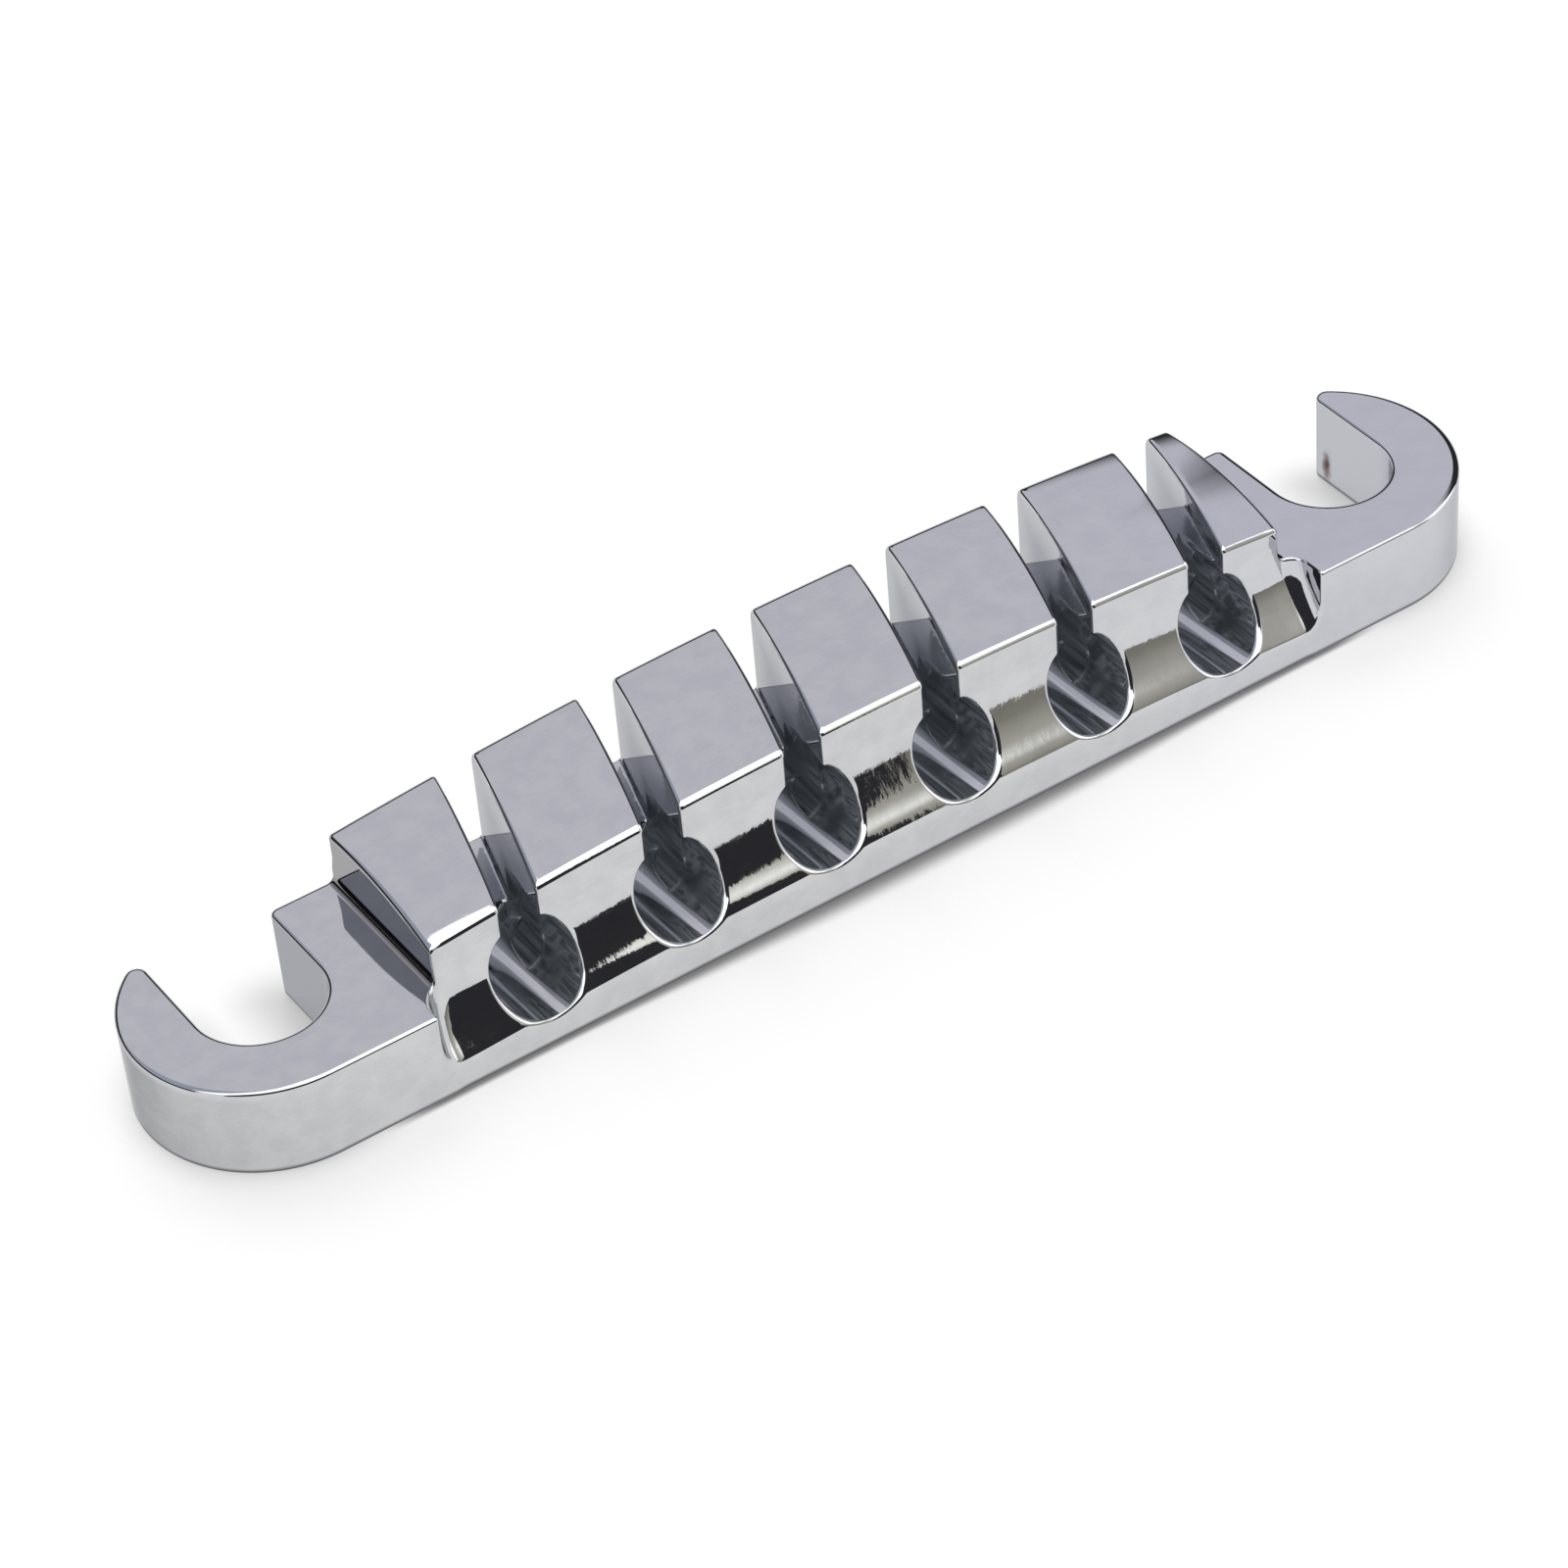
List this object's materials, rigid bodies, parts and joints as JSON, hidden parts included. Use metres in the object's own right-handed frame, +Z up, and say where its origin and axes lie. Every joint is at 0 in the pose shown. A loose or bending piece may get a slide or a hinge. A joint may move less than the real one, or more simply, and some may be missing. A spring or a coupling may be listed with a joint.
{
  "type": "guitar tailpiece",
  "caption": "One-piece chrome stop-bar tailpiece for an electric guitar, with open hooks for its two studs and skewed slots over keyholes for loading strings from above.",
  "frame": {"origin": "middle of the bounding box's base, on the flat underside", "axes": "+X along the bar, +Y towards the neck, where the hooks open, +Z up, away from the guitar's body"},
  "size_m": [0.0998, 0.0156, 0.0125],
  "materials": {
    "chrome": "polished chrome plating"
  },
  "bodies": {
    "root": {"tailpiece_casting": "chrome"}
  },
  "joints": []
}
